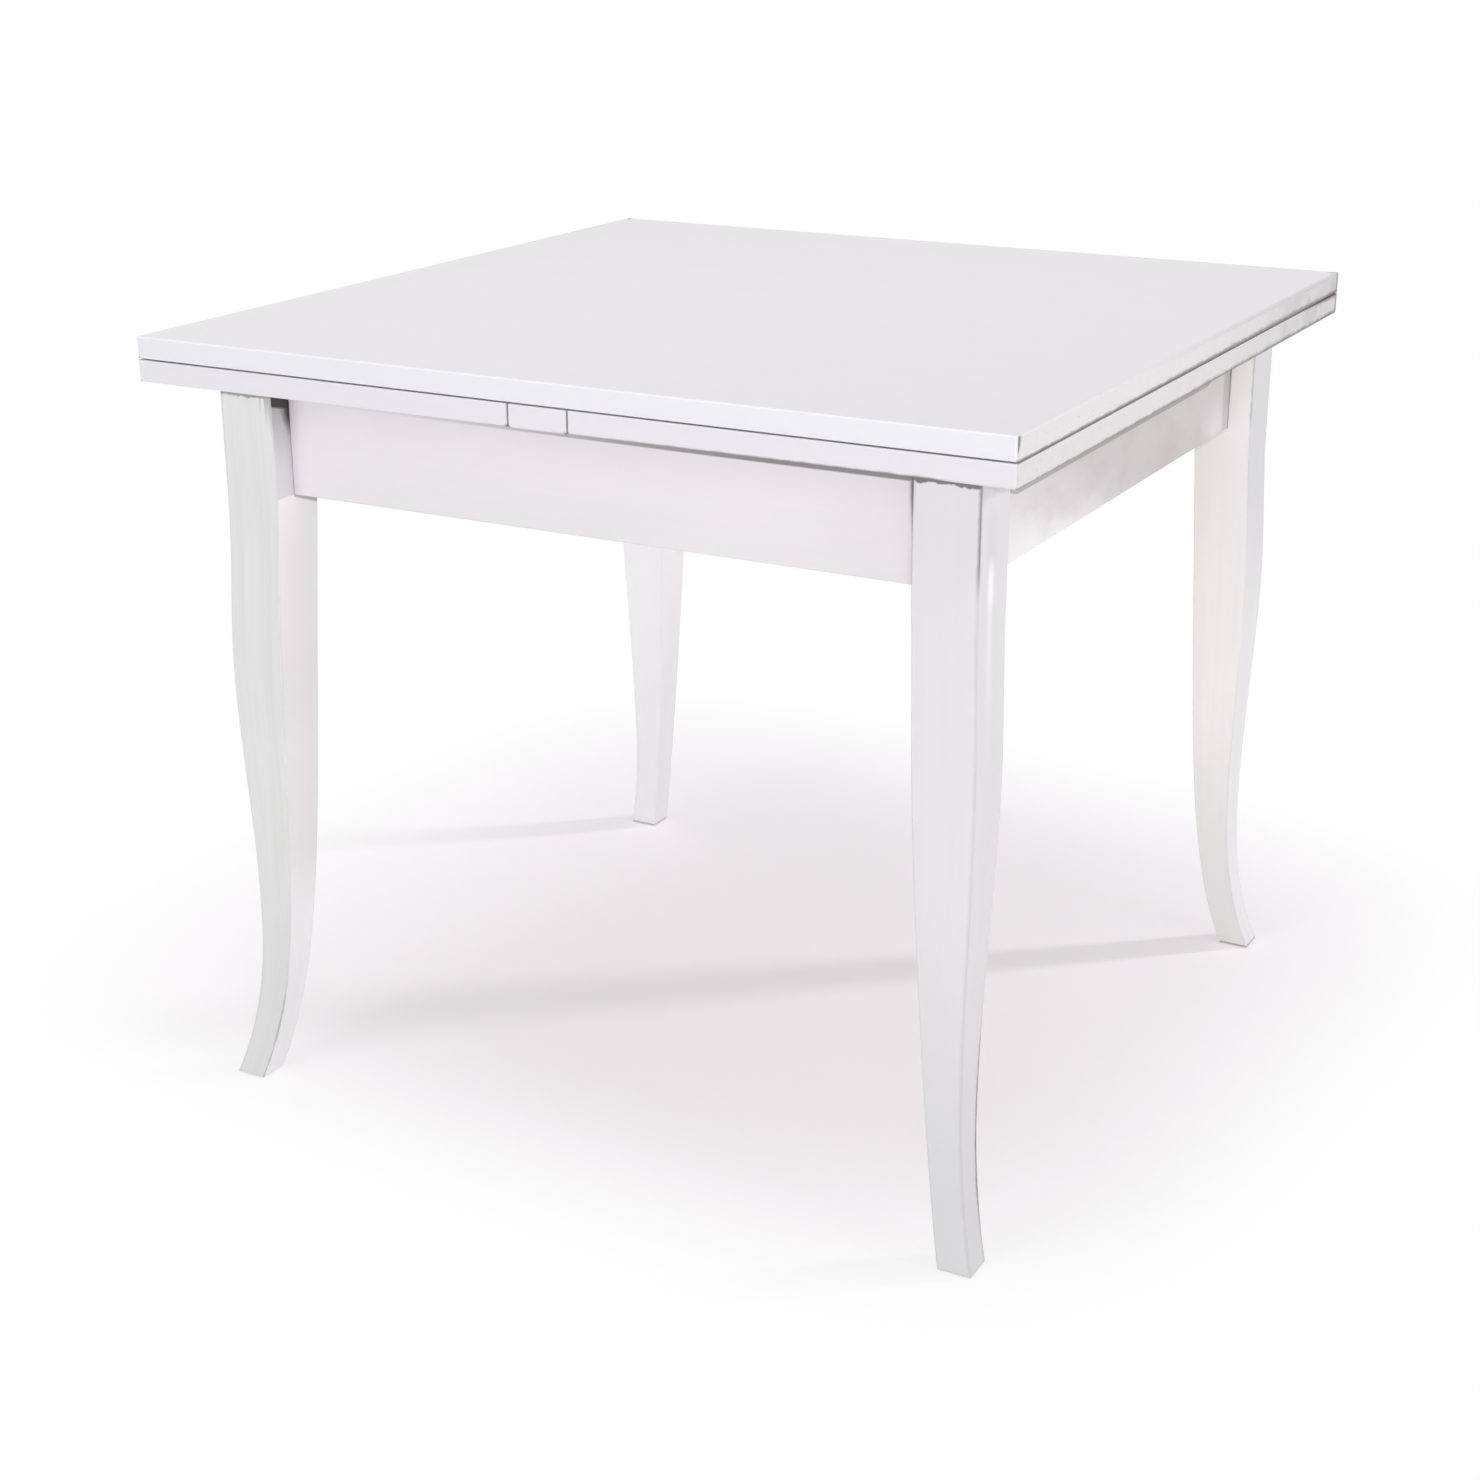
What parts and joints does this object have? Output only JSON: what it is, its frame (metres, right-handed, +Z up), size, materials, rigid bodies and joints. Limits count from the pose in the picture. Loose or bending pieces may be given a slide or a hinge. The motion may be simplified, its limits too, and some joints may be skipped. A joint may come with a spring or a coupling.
{
  "type": "extending dining table",
  "caption": "Square white-painted draw-leaf dining table on sabre legs, with leaves that slide out at both ends under a loose top.",
  "frame": {"origin": "on the floor, under the middle of the closed table", "axes": "+Z up; X is the way the leaves draw out, +X to the right leaf; -Y is the front, the long side that shows the end of the batten"},
  "size_m": [0.9, 0.9, 0.786],
  "materials": {
    "white_paint": "brushed off-white paint on wood, satin, rubbed grey along the arrises",
    "bare_wood": "planed beech, unpainted, waxed where it runs",
    "steel": "zinc-plated",
    "nylon": "moulded, matt",
    "felt": "pressed felt"
  },
  "bodies": {
    "frame": {"leg_front_left": "white_paint", "leg_front_right": "white_paint", "leg_rear_left": "white_paint", "leg_rear_right": "white_paint", "rail_front": "white_paint", "rail_rear": "white_paint", "end_rail_left": "white_paint", "end_rail_right": "white_paint", "guide_rail_left": "bare_wood", "guide_rail_right": "bare_wood", "centre_batten": "white_paint", "batten_screws": "steel", "corner_block_front_left": "bare_wood", "corner_block_front_right": "bare_wood", "corner_block_rear_left": "bare_wood", "corner_block_rear_right": "bare_wood", "hanger_bolts": "steel", "hanger_nuts": "steel", "hanger_washers": "steel", "corner_block_screws": "steel", "foot_glides": "nylon"},
    "left_leaf": {"left_leaf_panel": "white_paint", "left_leaf_lipping": "white_paint", "left_loper_front": "bare_wood", "left_loper_rear": "bare_wood", "left_loper_screws": "steel", "left_stop_blocks": "bare_wood", "left_stop_screws": "steel"},
    "right_leaf": {"right_leaf_panel": "white_paint", "right_leaf_lipping": "white_paint", "right_loper_front": "bare_wood", "right_loper_rear": "bare_wood", "right_loper_screws": "steel", "right_stop_blocks": "bare_wood", "right_stop_screws": "steel"},
    "top": {"top_panel": "white_paint", "top_lipping": "white_paint", "peg_front": "bare_wood", "peg_rear": "bare_wood", "peg_washers": "steel", "peg_screws": "steel", "felt_pads": "felt"}
  },
  "joints": [
    {"name": "left_leaf_draw", "type": "slide", "parent": "frame", "child": "left_leaf", "axis": [-1, 0, 0], "range_m": [0, 0.4185]},
    {"name": "right_leaf_draw", "type": "slide", "parent": "frame", "child": "right_leaf", "axis": [1, 0, 0], "range_m": [0, 0.4185]},
    {"name": "top_lift", "type": "slide", "parent": "frame", "child": "top", "axis": [0, 0, 1], "range_m": [0, 0.022]}
  ]
}
